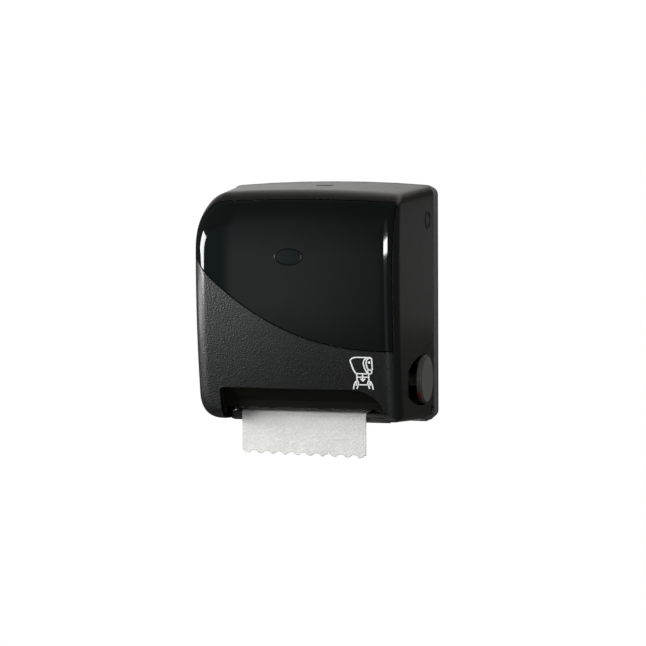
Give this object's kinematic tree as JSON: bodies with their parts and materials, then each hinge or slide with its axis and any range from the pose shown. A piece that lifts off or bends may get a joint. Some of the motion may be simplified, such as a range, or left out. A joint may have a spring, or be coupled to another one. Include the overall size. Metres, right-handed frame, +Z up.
{
  "type": "hands-free paper towel dispenser",
  "caption": "Wall-mounted hands-free dispenser for rolled paper towel: hinged bulged cover with a smoked window, drum feed with a cutting knife, and a manual feed knob.",
  "frame": {"origin": "centre of the four wall holes, on the wall face of the back plate", "axes": "+X to the right seen from the front, +Y into the wall, +Z up"},
  "size_m": [0.3429, 0.24, 0.4264],
  "materials": {
    "body_black": "fine leather grain, matte",
    "window_gloss": "smoked, almost opaque, polished",
    "mouth_black": "satin",
    "plate_grey": "satin",
    "frame_grey": "satin",
    "arm_pale": "satin",
    "gear_ivory": "satin",
    "steel": "brushed",
    "trim_black": "satin",
    "knob_grey": "satin",
    "marker_red": "satin",
    "rubber": "matte",
    "towel_paper": "embossed",
    "core_board": "plain"
  },
  "bodies": {
    "chassis": {"back_plate": "plate_grey", "left_side_frame": "frame_grey", "right_side_frame": "frame_grey", "gear_cover": "mouth_black", "left_roll_arm": "arm_pale", "right_roll_arm": "arm_pale", "exit_chute": "mouth_black", "stripper_comb": "frame_grey", "bushes": "gear_ivory", "hinge_pins": "steel", "frame_screws": "steel", "latch_keeper": "steel", "lock_strike": "steel", "knife_cam": "gear_ivory", "detent_spring": "steel", "pinch_blocks": "gear_ivory", "pinch_springs": "steel", "knob_cheek": "body_black", "towel_web": "towel_paper", "towel_tail": "towel_paper"},
    "cover": {"cover_shell": "body_black", "cover_window": "window_gloss", "mouth_scoop": "mouth_black", "lock_bezel": "trim_black", "latch_spring": "steel"},
    "latch": {"latch_button": "trim_black"},
    "lock": {"lock_barrel": "trim_black", "lock_tongue": "steel"},
    "drum": {"drum_shell": "arm_pale", "grip_bands": "rubber", "drum_shaft": "steel", "drum_gear": "gear_ivory", "home_disc": "gear_ivory"},
    "knife": {"knife_carrier": "frame_grey", "knife_blade": "steel", "knife_lever": "frame_grey", "cam_follower": "gear_ivory"},
    "pinch": {"pinch_roller": "rubber", "pinch_shaft": "steel"},
    "knob": {"knob_shaft": "steel", "knob_gear": "gear_ivory", "feed_knob": "trim_black", "knob_cap": "knob_grey", "knob_marker": "marker_red"},
    "roll": {"towel_roll": "towel_paper", "roll_core": "core_board", "left_hub": "frame_grey", "right_hub": "frame_grey"}
  },
  "joints": [
    {"name": "cover_hinge", "type": "hinge", "parent": "chassis", "child": "cover", "pos_m": [0, -0.03, -0.168], "axis": [1, 0, 0], "range_deg": [0, 85]},
    {"name": "latch_press", "type": "slide", "parent": "cover", "child": "latch", "axis": [0, 0, -1], "range_m": [0, 0.004], "stiffness_N_per_m": 400, "springref_m": -0.003, "deforming": ["latch_spring"]},
    {"name": "lock_turn", "type": "hinge", "parent": "cover", "child": "lock", "pos_m": [0.158, -0.051, 0.134], "axis": [1, 0, 0], "range_deg": [0, 90]},
    {"name": "drum_turn", "type": "hinge", "parent": "chassis", "child": "drum", "pos_m": [0, -0.12986, -0.1125], "axis": [1, 0, 0], "continuous": true},
    {"name": "knife_swing", "type": "hinge", "parent": "drum", "child": "knife", "pos_m": [0, -0.12596, -0.0807], "axis": [1, 0, 0], "range_deg": [0, 22], "stiffness_Nm_per_rad": 0.05, "springref_deg": -11.46},
    {"name": "knob_turn", "type": "hinge", "parent": "chassis", "child": "knob", "pos_m": [0.14, -0.073, -0.1165], "axis": [1, 0, 0], "continuous": true},
    {"name": "pinch_turn", "type": "hinge", "parent": "chassis", "child": "pinch", "pos_m": [0, -0.09532, -0.15671], "axis": [1, 0, 0], "continuous": true},
    {"name": "roll_turn", "type": "hinge", "parent": "chassis", "child": "roll", "pos_m": [0, -0.118, 0.06], "axis": [1, 0, 0], "continuous": true}
  ],
  "couplings": [
    {"joint": "knob_turn", "follows": "drum_turn", "ratio": -1.375},
    {"joint": "pinch_turn", "follows": "drum_turn", "ratio": -4.5},
    {"joint": "roll_turn", "follows": "drum_turn", "ratio": 0.53}
  ]
}
